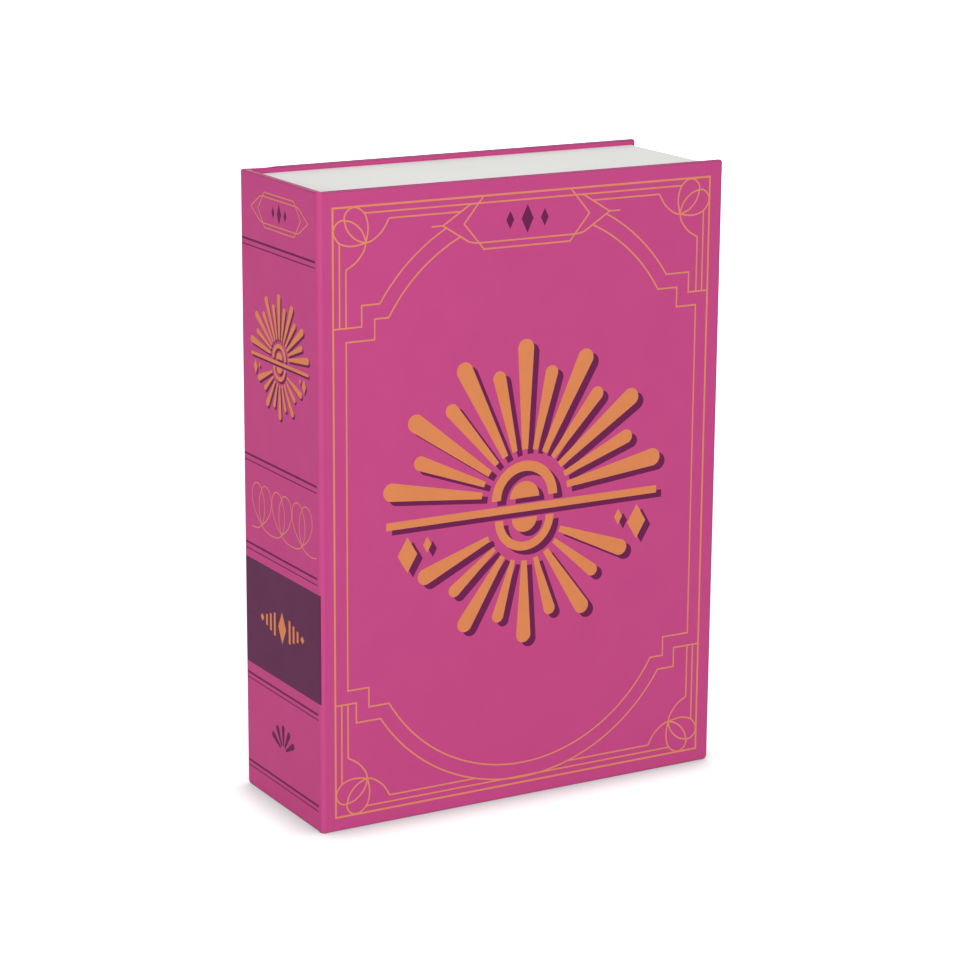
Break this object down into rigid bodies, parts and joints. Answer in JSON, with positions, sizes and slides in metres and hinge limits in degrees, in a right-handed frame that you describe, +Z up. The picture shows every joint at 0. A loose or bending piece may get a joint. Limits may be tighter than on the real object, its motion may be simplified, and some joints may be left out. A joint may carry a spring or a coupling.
{
  "type": "book box",
  "caption": "Book-shaped keepsake box standing upright: a tray in a case, whose front cover opens as the lid on a paper hinge along the spine.",
  "frame": {"origin": "middle of the bounding box's footprint, on the surface that the box stands on", "axes": "+Z up from tail to head, -X towards the spine, +X towards the fore edge, -Y out of the front cover, +Y out of the back cover"},
  "size_m": [0.175, 0.065, 0.245],
  "materials": {
    "printed_paper": "satin",
    "white_paper": "matte",
    "lining_paper": "matte",
    "grey_board": "matte",
    "fibreboard": "matte",
    "plated_steel": "satin"
  },
  "bodies": {
    "box": {"back_board": "grey_board", "back_wrap": "printed_paper", "back_joint_paper": "printed_paper", "spine_board": "grey_board", "spine_wrap": "printed_paper", "tray_floor": "fibreboard", "tray_head_wall": "fibreboard", "tray_tail_wall": "fibreboard", "tray_fore_edge_wall": "fibreboard", "tray_spine_wall": "fibreboard", "page_sheet": "white_paper", "floor_lining": "lining_paper", "head_lining": "lining_paper", "tail_lining": "lining_paper", "fore_edge_lining": "lining_paper", "spine_side_lining": "lining_paper", "tray_magnets": "plated_steel", "hinge_lining": "lining_paper", "hinge_paper": "printed_paper"},
    "front_cover": {"front_board": "grey_board", "front_wrap": "printed_paper", "front_endpaper": "lining_paper", "cover_discs": "plated_steel"}
  },
  "joints": [
    {"name": "cover_hinge", "type": "hinge", "parent": "box", "child": "front_cover", "pos_m": [-0.0869, -0.0319, 0.1225], "axis": [0, 0, -1], "range_deg": [0, 175], "deforming": ["hinge_paper"]}
  ]
}
